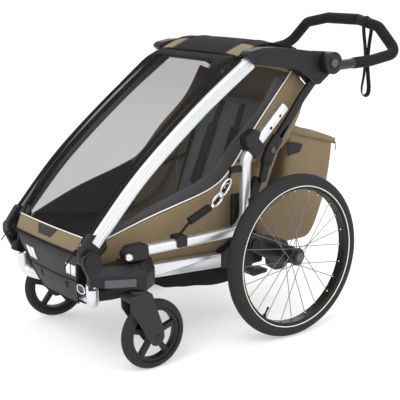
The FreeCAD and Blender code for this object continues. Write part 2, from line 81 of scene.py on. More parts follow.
# Points are written in millimetres from the rear axle line, as the CAD is drawn, and P turns them
# into the frame's metres. X runs to the child's left, -Y is the front, z = 0 is the ground.
MM = 0.001
tyre_low, tyre_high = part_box("tyre_left")
AXLE = (tyre_low + tyre_high) / 2
WHEEL_X = AXLE.x / MM
AXLE_Z = AXLE.z / MM
TYRE_R = 23.5
TYRE_MID = (tyre_high.z - tyre_low.z) / 2 / MM - TYRE_R
RIM_R = 214.0
RIM_IN = 205.0
RIM_HALF = 14.5
SPOKES = 24
SIDES = ((1, "left"), (-1, "right"))
CABIN_HALF = 189.5
WINDOW_X = 192.0
PANEL_X = 197.2

PIPING = [(-600, 364), (-436, 409), (-259, 449), (-202, 468), (-164, 490), (-115, 540), (-47, 627),
          (98, 787)]
WINDOW_TOP = [(-606, 398), (-474, 545), (-267, 712), (-85, 838), (50, 860), (112, 846)]
PILLAR_LINE = [(-628, 367), (-474, 531), (-267, 700), (-85, 825)]
COVER_LINE = [(-646, 362), (-578, 468), (-490, 562), (-344, 690), (-231, 780), (-165, 825), (-116, 842)]
ROOF_LINE = [(-118, 843), (-62, 866), (-16, 876), (30, 875), (76, 862)]
WALL_EDGE = [(-600, 370), (-449, 431), (-283, 480), (-205, 514), (-126, 594), (-24, 683), (38, 778)]
TETHER = [(262, -380, 362), (262, -349, 396), (262, -271, 428), (262, -242, 444), (258, -205, 481),
          (256, -189, 524)]


def P(x, y, z):
    return Vector((x * MM, y * MM + AXLE.y, z * MM))


# ---------------------------------------------------------------- lines and meshes


def through(points, count=8):
    """Smooth points through the given ones, count of them on each span."""
    points = [Vector(p) for p in points]
    made = []
    for i in range(len(points) - 1):
        a = points[max(i - 1, 0)]
        b = points[i]
        c = points[i + 1]
        d = points[min(i + 2, len(points) - 1)]
        for k in range(count):
            t = k / count
            bend = (c - a) * t + (2 * a - 5 * b + 4 * c - d) * t * t + (3 * b - a - 3 * c + d) * t ** 3
            made.append(b + bend / 2)
    return made + [points[-1]]


def spread(line, count):
    """The line again, as count + 1 points at equal distances."""
    lengths = [0.0]
    for a, b in zip(line, line[1:]):
        lengths.append(lengths[-1] + (b - a).length)
    made = []
    i = 0
    for k in range(count + 1):
        want = lengths[-1] * k / count
        while i < len(line) - 2 and lengths[i + 1] < want:
            i += 1
        t = (want - lengths[i]) / max(lengths[i + 1] - lengths[i], 1e-9)
        made.append(line[i].lerp(line[i + 1], min(max(t, 0), 1)))
    return made


def piece(name, verts, faces, material, body=None, slot=None):
    """A smooth-shaded mesh that rides on a body. Its slot is its material's, or another if one is given."""
    mesh = bpy.data.meshes.new(name)
    mesh.from_pydata([tuple(v) for v in verts], [], faces)
    tidy = bmesh.new()
    tidy.from_mesh(mesh)
    bmesh.ops.remove_doubles(tidy, verts=tidy.verts, dist=1e-6)
    bmesh.ops.recalc_face_normals(tidy, faces=tidy.faces)
    tidy.to_mesh(mesh)
    tidy.free()
    for polygon in mesh.polygons:
        polygon.use_smooth = True
    mesh.materials.append(material)
    obj = bpy.data.objects.new(name, mesh)
    bpy.context.scene.collection.objects.link(obj)
    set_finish(obj, slot or SLOTS[material])
    if body:
        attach(obj, body)
    return obj


def bake(obj):
    """Apply the modifiers."""
    bpy.context.view_layer.update()
    shaped = obj.evaluated_get(bpy.context.evaluated_depsgraph_get())
    mesh = bpy.data.meshes.new_from_object(shaped)
    obj.modifiers.clear()
    obj.data = mesh
    return obj


def thicken(obj, thick, offset=-1.0):
    solid = obj.modifiers.new("thick", "SOLIDIFY")
    solid.thickness = thick * MM
    solid.offset = offset
    return bake(obj)


def round_edges(obj, width, segments=2, angle=35):
    bevel = obj.modifiers.new("edge", "BEVEL")
    bevel.width = width * MM
    bevel.segments = segments
    bevel.limit_method = "ANGLE"
    bevel.angle_limit = math.radians(angle)
    bevel.use_clamp_overlap = False
    bevel.harden_normals = True
    return bake(obj)


def surface(name, rows, material, body=None, slot=None, closed=False):
    """A sheet through rows of points."""
    wide = len(rows[0])
    verts = [p for row in rows for p in row]
    faces = []
    for i in range(len(rows) - 1):
        for j in range(wide if closed else wide - 1):
            k = (j + 1) % wide
            faces.append((i * wide + j, i * wide + k, (i + 1) * wide + k, (i + 1) * wide + j))
    return piece(name, verts, faces, material, body, slot)


def fabric(name, rows, material, thick, body=None, offset=-1.0, closed=False):
    """A sheet with a thickness through rows of points."""
    obj = surface(name, rows, material, closed=closed)
    thicken(obj, thick, offset)
    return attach(obj, body) if body else obj


def between(low, high, count_along, count_across, shape):
    """Rows of points from one line to another; shape turns (y, z, along, across) into a point."""
    low = spread(low, count_along)
    high = spread(high, count_along)
    rows = []
    for j in range(count_across + 1):
        v = j / count_across
        rows.append([shape(*a.lerp(b, v), i / count_along, v) for i, (a, b) in enumerate(zip(low, high))])
    return rows


def rounded(wide, tall, radius, steps=4):
    """Points of a rectangle with rounded corners."""
    made = []
    for cx, cy, start in ((1, 1, 0), (-1, 1, 90), (-1, -1, 180), (1, -1, 270)):
        for k in range(steps + 1):
            a = math.radians(start + 90 * k / steps)
            x = cx * (wide / 2 - radius) + radius * math.cos(a)
            made.append((x, cy * (tall / 2 - radius) + radius * math.sin(a)))
    return made


def circle(radius, count=16):
    return [(radius * math.cos(2 * math.pi * k / count), radius * math.sin(2 * math.pi * k / count))
            for k in range(count)]


def sweep(name, line, section, material, body=None, slot=None, up=(1, 0, 0), closed=False, turn=None,
          size=None):
    """Carry a section along a line. Its first axis stays on the side of up; turn and size may vary."""
    rows = []
    count = len(line)
    side = Vector(up)
    for i, p in enumerate(line):
        before = line[i - 1] if i or closed else p
        after = line[(i + 1) % count] if i < count - 1 or closed else p
        way = (after - before).normalized()
        side = (side - way * side.dot(way)).normalized()
        other = way.cross(side)
        t = i / (count - 1)
        a = turn(t) if turn else 0.0
        s = size(t) if size else 1.0
        u = side * math.cos(a) + other * math.sin(a)
        w = other * math.cos(a) - side * math.sin(a)
        rows.append([p + (u * x + w * y) * (s * MM) for x, y in section])
    wide = len(section)
    verts = [p for row in rows for p in row]
    faces = []
    for i in range(count if closed else count - 1):
        n = (i + 1) % count
        for j in range(wide):
            k = (j + 1) % wide
            faces.append((i * wide + j, i * wide + k, n * wide + k, n * wide + j))
    if not closed:
        faces.append(tuple(range(wide))[::-1])
        faces.append(tuple(range((count - 1) * wide, count * wide)))
    return piece(name, verts, faces, material, body, slot)


def slab(name, outline, x0, x1, material, body=None, slot=None, edge=0.0):
    """A flat moulding with a YZ outline."""
    n = len(outline)
    verts = [P(x0, y, z) for y, z in outline] + [P(x1, y, z) for y, z in outline]
    faces = [tuple(range(n)), tuple(range(n, 2 * n))[::-1]]
    faces += [(i, (i + 1) % n, n + (i + 1) % n, n + i) for i in range(n)]
    obj = piece(name, verts, faces, material, body, slot)
    return round_edges(obj, edge) if edge else obj


def join(name, parts):
    """One piece from several that ride on the same body."""
    made = bmesh.new()
    for part in parts:
        made.from_mesh(part.data)
    mesh = bpy.data.meshes.new(name)
    made.to_mesh(mesh)
    made.free()
    mesh.materials.append(parts[0].data.materials[0])
    for polygon in mesh.polygons:
        polygon.use_smooth = True
    obj = bpy.data.objects.new(name, mesh)
    bpy.context.scene.collection.objects.link(obj)
    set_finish(obj, parts[0]["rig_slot"])
    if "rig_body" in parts[0]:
        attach(obj, parts[0]["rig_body"])
    for part in parts:
        bpy.data.objects.remove(part)
    return obj


def paint(obj, materials, choose):
    """Give each face one of several materials by where its middle is, in millimetres from the axle."""
    obj.data.materials.clear()
    for material in materials:
        obj.data.materials.append(material)
    for polygon in obj.data.polygons:
        c = polygon.center
        polygon.material_index = choose(c.x / MM, (c.y - AXLE.y) / MM, c.z / MM)


def crumple(p, amount, size=60.0, seed=0.0):
    """A small seeded offset, as wide folds in cloth."""
    return amount * noise.noise(Vector((p.x, p.y, p.z)) / (size * MM) + Vector((seed, seed, seed)))


# ---------------------------------------------------------------- materials


def sRGB(r, g, b):
    return tuple((c / 255) ** 2.2 for c in (r, g, b)) + (1.0,)


def shading(nodes, kind, **values):
    """A new shader node with some of its inputs set."""
    node = nodes.new("ShaderNode" + kind)
    for socket, value in values.items():
        node.inputs[socket.replace("_", " ")].default_value = value
    return node


def material(name, colour, rough, metal=0.0, vary=0.12, scale=14.0, grain="none", pitch=1.2, depth=0.1,
             **sockets):
    """A surface with soft colour changes and a fine relief: weave, grain or brushed."""
    mat = bpy.data.materials.new(name)
    mat.use_nodes = True
    nodes = mat.node_tree.nodes
    link = mat.node_tree.links.new
    shader = nodes["Principled BSDF"]
    shader.inputs["Metallic"].default_value = metal
    for socket, value in sockets.items():
        shader.inputs[socket.replace("_", " ")].default_value = value
    place = nodes.new("ShaderNodeTexCoord")
    cloud = shading(nodes, "TexNoise", Scale=scale, Detail=6.0)
    link(place.outputs["Object"], cloud.inputs["Vector"])
    tint = nodes.new("ShaderNodeMix")
    tint.data_type = "RGBA"
    tint.inputs["A"].default_value = tuple(c * (1 - vary) for c in colour[:3]) + (1,)
    tint.inputs["B"].default_value = tuple(min(c * (1 + vary), 1) for c in colour[:3]) + (1,)
    link(cloud.outputs["Fac"], tint.inputs["Factor"])
    link(tint.outputs["Result"], shader.inputs["Base Color"])
    gloss = shading(nodes, "MapRange", To_Min=max(rough - 0.08, 0.05), To_Max=min(rough + 0.08, 1.0))
    link(cloud.outputs["Fac"], gloss.inputs["Value"])
    link(gloss.outputs["Result"], shader.inputs["Roughness"])
    if grain != "none":
        height = relief(nodes, link, place, grain, pitch)
        bump = shading(nodes, "Bump", Strength=0.5, Distance=depth * MM)
        link(height, bump.inputs["Height"])
        link(bump.outputs["Normal"], shader.inputs["Normal"])
    return mat


def threads(nodes, link, place, pitch):
    """Two crossing sets of threads, on any side of the object."""
    waves = []
    for way in ((1.0, 1.0, 1.0), (1.0, -0.4, -1.0)):
        dot = nodes.new("ShaderNodeVectorMath")
        dot.operation = "DOT_PRODUCT"
        dot.inputs[1].default_value = tuple(c * 2 * math.pi / (pitch * MM) / 1.5 for c in way)
        link(place.outputs["Object"], dot.inputs[0])
        sine = nodes.new("ShaderNodeMath")
        sine.operation = "SINE"
        link(dot.outputs["Value"], sine.inputs[0])
        waves.append(sine.outputs[0])
    top = nodes.new("ShaderNodeMath")
    top.operation = "MAXIMUM"
    link(waves[0], top.inputs[0])
    link(waves[1], top.inputs[1])
    return top.outputs[0]


def relief(nodes, link, place, grain, pitch):
    if grain == "weave":
        return threads(nodes, link, place, pitch)
    fine = shading(nodes, "TexNoise", Scale=1 / (pitch * MM), Detail=3.0)
    if grain == "brushed":
        squeeze = shading(nodes, "Mapping", Scale=(1.0, 0.04, 0.04))
        link(place.outputs["Object"], squeeze.inputs["Vector"])
        link(squeeze.outputs["Vector"], fine.inputs["Vector"])
    else:
        link(place.outputs["Object"], fine.inputs["Vector"])
    return fine.outputs["Fac"]


def netting(name, colour, cover, pitch):
    """See-through mesh cloth: cover is the share of light that it stops."""
    mat = material(name, colour, 0.85, grain="weave", pitch=pitch, depth=0.15, Specular_IOR_Level=0.1)
    nodes = mat.node_tree.nodes
    link = mat.node_tree.links.new
    place = nodes["Texture Coordinate"]
    holes = shading(nodes, "MapRange", From_Min=-1.0, To_Min=cover - 0.16, To_Max=cover + 0.05)
    link(threads(nodes, link, place, pitch), holes.inputs["Value"])
    link(holes.outputs["Result"], nodes["Principled BSDF"].inputs["Alpha"])
    return mat


def hub_finish():
    """Black hub body with bare metal spokes, told apart by how far they are from the axle."""
    mat = material("hub_and_spokes", sRGB(34, 34, 36), 0.45, grain="grain", pitch=2.0)
    nodes = mat.node_tree.nodes
    link = mat.node_tree.links.new
    place = nodes["Texture Coordinate"]
    shader = nodes["Principled BSDF"]
    flat = nodes.new("ShaderNodeVectorMath")
    flat.operation = "MULTIPLY_ADD"
    flat.inputs[1].default_value = (0, 1, 1)
    flat.inputs[2].default_value = (0, -AXLE.y, -AXLE.z)
    link(place.outputs["Object"], flat.inputs[0])
    far = nodes.new("ShaderNodeVectorMath")
    far.operation = "LENGTH"
    link(flat.outputs[0], far.inputs[0])
    out = nodes.new("ShaderNodeMath")
    out.operation = "GREATER_THAN"
    out.inputs[1].default_value = 28 * MM
    link(far.outputs["Value"], out.inputs[0])
    link(out.outputs[0], shader.inputs["Metallic"])
    tint = nodes.new("ShaderNodeMix")
    tint.data_type = "RGBA"
    tint.inputs["B"].default_value = sRGB(122, 122, 126)
    link(out.outputs[0], tint.inputs["Factor"])
    link(nodes["Mix"].outputs["Result"], tint.inputs["A"])
    link(tint.outputs["Result"], shader.inputs["Base Color"])
    return mat


BLACK = material("black_moulded", sRGB(25, 25, 27), 0.5, grain="grain", pitch=1.5, depth=0.08,
                 Specular_IOR_Level=0.35)
GREY_MOULD = material("grey_moulded", sRGB(38, 38, 40), 0.55, grain="grain", pitch=1.5, depth=0.08,
                      Specular_IOR_Level=0.35)
ALLOY = material("black_anodised", sRGB(25, 25, 27), 0.4, grain="grain", pitch=0.8, depth=0.05,
                 Specular_IOR_Level=0.5)
SILVER = material("silver_anodised", sRGB(214, 215, 218), 0.36, metal=0.9, vary=0.03, grain="brushed",
                  pitch=0.5, depth=0.03)
STEEL = material("bright_steel", sRGB(205, 206, 210), 0.22, metal=1.0, vary=0.05, grain="grain", pitch=0.7,
                 depth=0.03)
BUTTON = material("grey_button", sRGB(70, 73, 78), 0.5, grain="grain", pitch=1.2)
FOAM = material("grip_foam", sRGB(26, 26, 27), 0.8, grain="grain", pitch=1.1, depth=0.3,
                Specular_IOR_Level=0.25)
RUBBER = material("tyre_rubber", sRGB(38, 38, 39), 0.75, grain="grain", pitch=1.8, depth=0.2,
                  Specular_IOR_Level=0.3)
WHEEL_PLASTIC = material("caster_plastic", sRGB(30, 30, 32), 0.5, grain="grain", pitch=1.5,
                         Specular_IOR_Level=0.35)
BROWN = material("brown_cloth", sRGB(122, 106, 82), 0.85, vary=0.1, scale=9.0, grain="weave", pitch=1.3,
                 depth=0.2, Specular_IOR_Level=0.2, Sheen_Weight=0.15)
DARK = material("dark_grey_cloth", sRGB(46, 46, 48), 0.88, vary=0.14, scale=10.0, grain="weave", pitch=1.4,
                depth=0.25, Specular_IOR_Level=0.2, Sheen_Weight=0.12)
BLACK_CLOTH = material("black_cloth", sRGB(28, 28, 29), 0.85, grain="weave", pitch=1.3, depth=0.2,
                       Specular_IOR_Level=0.2)
WEBBING = material("black_webbing", sRGB(26, 26, 27), 0.8, grain="weave", pitch=2.0, depth=0.4,
                   Specular_IOR_Level=0.25)
COVER_MESH = netting("cover_mesh", sRGB(46, 46, 46), 0.34, 1.6)
WINDOW_MESH = netting("window_mesh", sRGB(62, 62, 61), 0.4, 1.6)
SEAT_CLOTH = material("seat_cloth", sRGB(100, 100, 103), 0.9, vary=0.06, scale=8.0, grain="weave", pitch=1.4,
                      depth=0.15, Specular_IOR_Level=0.2)
PIPE_WHITE = material("off_white_piping", sRGB(228, 226, 220), 0.6, vary=0.04, grain="weave", pitch=1.0)
REFLECT = material("reflective_strip", sRGB(222, 224, 226), 0.35, vary=0.08, scale=60.0, grain="weave",
                   pitch=2.2, depth=0.2)
HUB = hub_finish()

# The record's material slot for each material.
SLOTS = {
    BLACK: "black_plastic", GREY_MOULD: "caster_plastic", ALLOY: "black_alloy", SILVER: "silver_tube",
    STEEL: "steel", FOAM: "grip_foam", RUBBER: "tyre_rubber", WHEEL_PLASTIC: "caster_plastic",
    BROWN: "brown_fabric", DARK: "dark_fabric", BLACK_CLOTH: "dark_fabric", WEBBING: "webbing_black",
    COVER_MESH: "mesh_cover", WINDOW_MESH: "window_mesh", SEAT_CLOTH: "dark_fabric",
    PIPE_WHITE: "piping_white", REFLECT: "reflector_grey",
}


# ---------------------------------------------------------------- carried-over CAD parts


def moulded(node, finish, edge=1.0, shape=None):
    """A CAD part with its edges rounded over and a finish; shape may move its points."""
    source = frame["nodes"][node]
    mesh = source.data.copy()
    tidy = bmesh.new()
    tidy.from_mesh(mesh)
    bmesh.ops.remove_doubles(tidy, verts=tidy.verts, dist=1e-5)
    for v in tidy.verts if shape else []:
        v.co = shape(v.co)
    bmesh.ops.dissolve_limit(tidy, angle_limit=math.radians(1.0), verts=tidy.verts, edges=tidy.edges)
    bmesh.ops.recalc_face_normals(tidy, faces=tidy.faces)
    tidy.to_mesh(mesh)
    tidy.free()
    mesh.materials.clear()
    mesh.materials.append(finish)
    for polygon in mesh.polygons:
        polygon.use_smooth = True
    obj = bpy.data.objects.new(node + "_finished", mesh)
    bpy.context.scene.collection.objects.link(obj)
    round_edges(obj, edge)
    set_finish(obj, SLOTS[finish])
    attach(obj, source["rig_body"])
    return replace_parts(obj, node)


def sweep_up(p):
    """The underside of the front housing rises towards its nose."""
    nose = max(-604 * MM - (p.y - AXLE.y), 0)
    if p.z < 262 * MM:
        p.z = max(p.z, 238 * MM + nose * 0.42)
    return p


def finish_cad_parts():
    moulded("front_housings", BLACK, 1.8, sweep_up)
    for node in ("frame_mouldings", "rear_nodes", "hitch_clip", "hitch_block", "hitch_collar"):
        moulded(node, BLACK, 1.4)
    moulded("brake_pedal", BLACK, 1.2)
    moulded("base_rails", SILVER, 2.0)
    moulded("handle_hubs", BLACK, 0.35)
    for side in ("left", "right"):
        moulded("rear_upright_" + side, BLACK, 0.7)
        moulded("swing_arm_" + side, ALLOY, 1.6)
        moulded("caster_fork_" + side, GREY_MOULD, 1.6)
        moulded("caster_core_" + side, WHEEL_PLASTIC, 1.0)
    pairs = {"rim": ALLOY, "spoked_hub": HUB, "wheel_button": BUTTON, "hub_button": BUTTON,
             "fold_button": BUTTON, "caster_tyre": RUBBER}
    painted = {node + "_" + side: finish for node, finish in pairs.items() for side in ("left", "right")}
    painted.update({"chassis_pins": BLACK, "frame_pins": BLACK, "cross_tube": ALLOY, "crossbars": ALLOY,
                    "bumper_tube": SILVER, "hitch_tube": SILVER, "hitch_steel": STEEL, "handlebar": ALLOY,
                    "grip": FOAM, "tether_fittings": BLACK})
    for node, finish in painted.items():
        for place in frame["nodes"][node].material_slots:
            place.material = finish


# ---------------------------------------------------------------- wheels


def wheel_point(side, dx, r, a):
    return Vector((side * (WHEEL_X + dx) * MM, AXLE.y + r * math.cos(a) * MM, AXLE.z + r * math.sin(a) * MM))


def tyre(side, label):
    """Tyre with a centre rib and shallow slanted grooves."""
    around = 264
    last = math.pi - math.asin(RIM_HALF / TYRE_R)
    steps = 34
    rows = []
    for i in range(around):
        a = 2 * math.pi * i / around
        row = []
        for j in range(steps + 1):
            phi = last * (2 * j / steps - 1)
            slant = abs(j - steps // 2)
            cut = 1.7 if 2 <= slant <= 6 and (i + 2 * slant) % 8 < 2 else 0.0
            cut = 0.8 if slant == 7 else cut
            r = TYRE_R - cut
            row.append(wheel_point(side, r * math.sin(phi), TYRE_MID + r * math.cos(phi), a))
        row.append(wheel_point(side, RIM_HALF, RIM_R, a))
        row.append(wheel_point(side, -RIM_HALF, RIM_R, a))
        rows.append(row)
    obj = surface("tread_tyre_" + label, rows + rows[:1], RUBBER, "rear_wheel_" + label, closed=True)
    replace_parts(obj, "tyre_" + label)


def white_line(side, label):
    """Reflective line round each side of the tyre."""
    parts = []
    for way in (1, -1):
        line = [wheel_point(side, way * 20.7, 215.7, 2 * math.pi * i / 120) for i in range(120)]
        name = "line_%s_%d" % (label, way + 1)
        parts.append(sweep(name, line, circle(1.5, 8), PIPE_WHITE, "rear_wheel_" + label, "reflector_grey",
                           closed=True))
    join("tyre_line_" + label, parts)


def nipples(side, label):
    """Spoke nipples at the rim, and the valve."""
    parts = []
    for i in range(SPOKES):
        way = 1 if i % 2 else -1
        lead = 1 if i % 4 < 2 else -1
        there = 2 * math.pi * i / SPOKES
        here = there + lead * math.radians(68)
        tip = wheel_point(side, way * (5.6 if lead > 0 else 2.2), RIM_IN - 0.4, there)
        root = wheel_point(side, way * (13.8 if lead > 0 else 10.8), 24, here)
        line = [tip, tip + (root - tip).normalized() * 0.010]
        parts.append(sweep("nipple_%s_%d" % (label, i), line, circle(2.1, 8), STEEL, "rear_wheel_" + label))
    join("nipples_" + label, parts)
    turn = math.atan2(102 - AXLE_Z, -101)
    line = [wheel_point(side, 0, r, turn) for r in (RIM_IN, 196, 195, 180, 179, 172)]
    sizes = [1.6, 1.6, 1.0, 1.0, 1.25, 1.1]
    sweep("valve_" + label, line, circle(3.0, 12), BLACK, "rear_wheel_" + label,
          size=lambda t: sizes[round(t * 5)])


# ---------------------------------------------------------------- frame pieces


def pillar(side, label):
    """Grooved side extrusion."""
    half, tall = 11.3, 23.0
    section = rounded(2 * half, 2 * tall, 8.5, 5)
    # The outer face, with its two grooves, closes the section.
    for middle in (-8.0, 2.0):
        section += [(half, middle - 2.0), (half - 1.6, middle - 1.2), (half - 1.6, middle + 1.2),
                    (half, middle + 2.0)]
    line = [P(210.5 * side, y, z) for y, z in spread(through(PILLAR_LINE, 12), 48)]
    section = [(x * side, y) for x, y in section]
    obj = sweep("pillar_" + label, line, section, SILVER, "folding_frame")
    return round_edges(obj, 0.35, 1, 30)


def bracket_panel(side, label):
    """Raised panel on the outer face of each upper bracket."""
    outline = [(-88, 838), (-66, 826), (14, 811), (104, 786), (150, 762), (158, 776), (158, 840), (120, 848),
               (48, 857), (-20, 852)]
    outline = [tuple(v) for v in through(outline + outline[:1], 4)[:-1]]
    slab("bracket_panel_" + label, outline, side * 237.8, side * 239.6, BLACK, "folding_frame", edge=0.9)


# ---------------------------------------------------------------- cabin cloth


def cover_point(u, s, lift=0.0):
    """A point on the front cover: u from side to side, s from the hem up."""
    line = COVER_CURVE
    k = min(max(s, 0.0), 1.0) * (len(line) - 1)
    i = min(int(k), len(line) - 2)
    y, z = line[i].lerp(line[i + 1], k - i)
    way = (line[i + 1] - line[i]).normalized()
    crown = 7.0 * (1 - u * u) * math.sin(math.pi * min(max(s, 0.0), 1.0)) ** 0.7 + lift
    edge = 7.0 * max(abs(u) - 0.94, 0.0) / 0.06
    return P(CABIN_HALF * u, y - way.y * (crown - edge), z + way.x * (crown - edge))


def window_ring(half_wide, low, high, radius_u, radius_s, count):
    """Outline of a rounded opening on the cover, and the matching outer edge."""
    pairs = []
    for cu, cs, start in ((1, 1, 0), (-1, 1, 90), (-1, 0, 180), (1, 0, 270)):
        middle_u = cu * (half_wide - radius_u)
        middle_s = high - radius_s if cs else low + radius_s
        for k in range(count + 1):
            a = math.radians(start + 90 * k / count)
            c, s = math.cos(a), math.sin(a)
            if abs(c) > abs(s) - 1e-6:
                rim = Vector((cu, middle_s + (cs - middle_s) * abs(s / c)))
            else:
                rim = Vector((middle_u + (cu - middle_u) * abs(c / s), cs))
            pairs.append((rim, Vector((middle_u + radius_u * c, middle_s + radius_s * s))))
    outer = []
    inner = []
    for (rim, hole), (next_rim, next_hole) in zip(pairs, pairs[1:] + pairs[:1]):
        steps = max(1, round((next_hole - hole).length / 0.02))
        outer += [rim.lerp(next_rim, k / steps) for k in range(steps)]
        inner += [hole.lerp(next_hole, k / steps) for k in range(steps)]
    return outer, inner


COVER_CURVE = spread(through(COVER_LINE, 10), 90)


def front_cover():
    rows = [[cover_point(-1 + i / 24, j / 48) for i in range(49)] for j in range(49)]
    sheet = surface("cover_mesh_sheet", rows, COVER_MESH, "folding_frame")
    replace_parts(sheet, "front_cover")
    outer, inner = window_ring(0.965, 0.01, 0.925, 0.34, 0.085, 8)
    rows = [[cover_point(*a.lerp(b, k / 3), 0.8) for a, b in zip(outer, inner)] for k in range(4)]
    border = fabric("cover_border", rows, BLACK_CLOTH, 1.6, "folding_frame", offset=0.0, closed=True)
    for side, label in SIDES:
        line = [cover_point(side, s / 40, -1.0) for s in range(41)]
        sweep("cover_binding_" + label, line, circle(2.6, 10), BLACK_CLOTH, "folding_frame")
        cover_skirt(side, label)


def cover_skirt(side, label):
    """The edge of the cover wraps down on to the pillar."""
    pillar_line = spread(through(PILLAR_LINE, 12), 200)
    rows = []
    for k in range(61):
        p = cover_point(side, 0.01 + 0.98 * k / 60, 0.8)
        spot = Vector(((p.y - AXLE.y) / MM, p.z / MM))
        near = min(pillar_line, key=lambda q: (q - spot).length)
        rest = near + (spot - near).normalized() * 24.4
        row = []
        for x, t in ((189, 0), (193, 0.2), (198, 0.85), (203, 0.97), (208, 1), (214, 1)):
            q = spot.lerp(rest, t)
            row.append(P(side * x, q.x, q.y))
        rows.append(row)
    surface("cover_side_" + label, [row[:3] for row in rows], COVER_MESH, "folding_frame")
    fabric("cover_skirt_" + label, [row[2:] for row in rows], BLACK_CLOTH, 1.6, "folding_frame", offset=0.0)


def cover_hem():
    """Brown band at the foot of the cover, with a plain patch and an off-white piped top edge."""
    def place(u, v):
        half = 172 + 5 * v
        bow = 7 * (1 - u * u)
        return P(half * u, -663 + 21 * v - bow, 338 + 42 * v + bow * 0.2)
    rows = [[place(-1 + i / 16, j / 6) for i in range(33)] for j in range(7)]
    hem = fabric("hem_band", rows, BROWN, 2.4, "folding_frame")
    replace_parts(hem, "cover_hem")
    sweep("hem_piping", [place(-1 + i / 24, 1.02) for i in range(49)], circle(1.6, 8), PIPE_WHITE,
          "folding_frame", up=(0, 0, 1))
    sweep("hem_binding", [place(-1 + i / 24, -0.02) for i in range(49)], circle(4.2, 10), BLACK_CLOTH,
          "folding_frame", up=(0, 0, 1))
    patch = [[place(u * (0.2 + 0.11 * v), 0.36 + 0.58 * v) + Vector((0, -1.2 * MM, 0.3 * MM))
              for u in (i / 8 - 1 for i in range(17))] for v in (j / 6 for j in range(7))]
    fabric("hem_patch", patch, DARK, 1.6, "folding_frame")


def front_panel():
    """Dark cloth front with a seam, rounded lower corners, reflective strips, slots and a ring."""
    line = spread(through([(-657, 335), (-652, 300), (-640, 252), (-628, 206), (-613, 166)], 8), 24)
    widths = spread(through([(187, 0), (182, 0.25), (169, 0.5), (142, 0.76), (98, 1)], 8), 24)

    def place(u, v, lift=0.0):
        k = min(max(v, 0), 1) * 24
        i = min(int(k), 23)
        y, z = line[i].lerp(line[i + 1], k - i)
        half = widths[i].x + (widths[i + 1].x - widths[i].x) * (k - i)
        bow = 9 * (1 - u * u) * (0.4 + 0.6 * math.sin(math.pi * v)) + lift
        p = P(half * u, y - bow, z)
        p.y += crumple(p, 2.6 * MM, 70, 3.0)
        return p

    rows = [[place(-1 + i / 24, j / 30) for i in range(49)] for j in range(31)]
    sheet = fabric("front_sheet", rows, DARK, 2.2, "chassis")
    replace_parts(sheet, "front_panel", "reflectors")
    seams = []
    for v in (0.52, 0.985):
        line_points = [place(-1 + i / 30, v, 1.0) for i in range(61)]
        seams.append(sweep("front_seam_%d" % (v * 100), line_points, circle(1.7, 8), BLACK_CLOTH, "chassis",
                           up=(0, 0, 1)))
    for u in (-0.985, 0.985):
        line_points = [place(u, j / 30, 0.8) for j in range(31)]
        seams.append(sweep("front_edge_%d" % (u * 1000 + 1000), line_points, circle(2.0, 8), BLACK_CLOTH,
                           "chassis"))
    join("front_seams", seams)
    for middle, label in ((0.78, "left"), (-0.62, "right")):
        for k, (u0, u1) in enumerate(((-0.15, -0.02), (0.01, 0.15))):
            rows = [[place(middle + u0 + (u1 - u0) * i / 4, 0.22 + 0.2 * j / 4, 1.6) for i in range(5)]
                    for j in range(5)]
            fabric("front_reflector_%s_%d" % (label, k), rows, REFLECT, 1.2, "chassis")
        slot_rows = [[place(middle * 0.78 + 0.12 * (i / 4 - 0.5) * (1 - j / 5), 0.6 + 0.12 * j / 4, 1.4)
                      for i in range(5)] for j in range(5)]
        fabric("front_slot_" + label, slot_rows, BLACK_CLOTH, 1.0, "chassis")
    ring = []
    for k in range(24):
        a = 2 * math.pi * k / 24
        ring.append(P(158 + 21 * max(math.cos(a), -0.8), -641, 230 + 12 * math.sin(a)))
    sweep("front_ring", ring, circle(2.3, 8), STEEL, "chassis", up=(0, 1, 0), closed=True)


def housing_label(side, label):
    """Grey reflective insert on each front housing."""
    a = Vector((250.4, -620.3))
    b = Vector((289.4, -543.9))
    rows = []
    for j in range(5):
        row = []
        for i in range(9):
            p = a.lerp(b, i / 8)
            row.append(P(side * p.x, p.y, 252 + 22 * j / 4))
        rows.append(row)
    obj = surface("housing_label_" + label, rows, BUTTON, None, "reflector_grey")
    thicken(obj, 2.4, 0.0)
    round_edges(obj, 0.6, 2, 40)
    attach(obj, "chassis")


def side_window(side, label):
    def place(y, z, t, v):
        dish = 1.6 * math.sin(math.pi * v) * math.sin(math.pi * t)
        return P(side * (WINDOW_X - dish), y, z)
    low = through(PIPING, 8)
    high = through(WINDOW_TOP, 8)
    sheet = surface("window_sheet_" + label, between(low, high, 48, 16, place), WINDOW_MESH, "folding_frame")
    edge = [P(side * 193.4, y, z) for y, z in spread(low, 90)]
    pipe = sweep("window_cord_" + label, edge, circle(2.2, 10), PIPE_WHITE, "folding_frame")
    upper = [P(side * 192.6, y, z) for y, z in spread(high, 60)]
    sweep("window_hem_" + label, upper, rounded(2.2, 16, 1, 2), BLACK_CLOTH, "folding_frame")
    head = [P(side * 193.4, y, z) for y, z in through([(-64, 818), (-10, 812), (48, 800), (92, 781)], 8)]
    sweep("window_head_" + label, head, rounded(2.6, 17, 1, 2), BROWN, "folding_frame",
          size=lambda t: 0.35 + 0.65 * math.sin(math.pi * min(t * 1.15, 1.0)) ** 0.5)
    return sheet, pipe


def side_windows():
    made = [side_window(side, label) for side, label in SIDES]
    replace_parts(made[0][0], "side_windows")
    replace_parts(made[0][1], "window_piping")


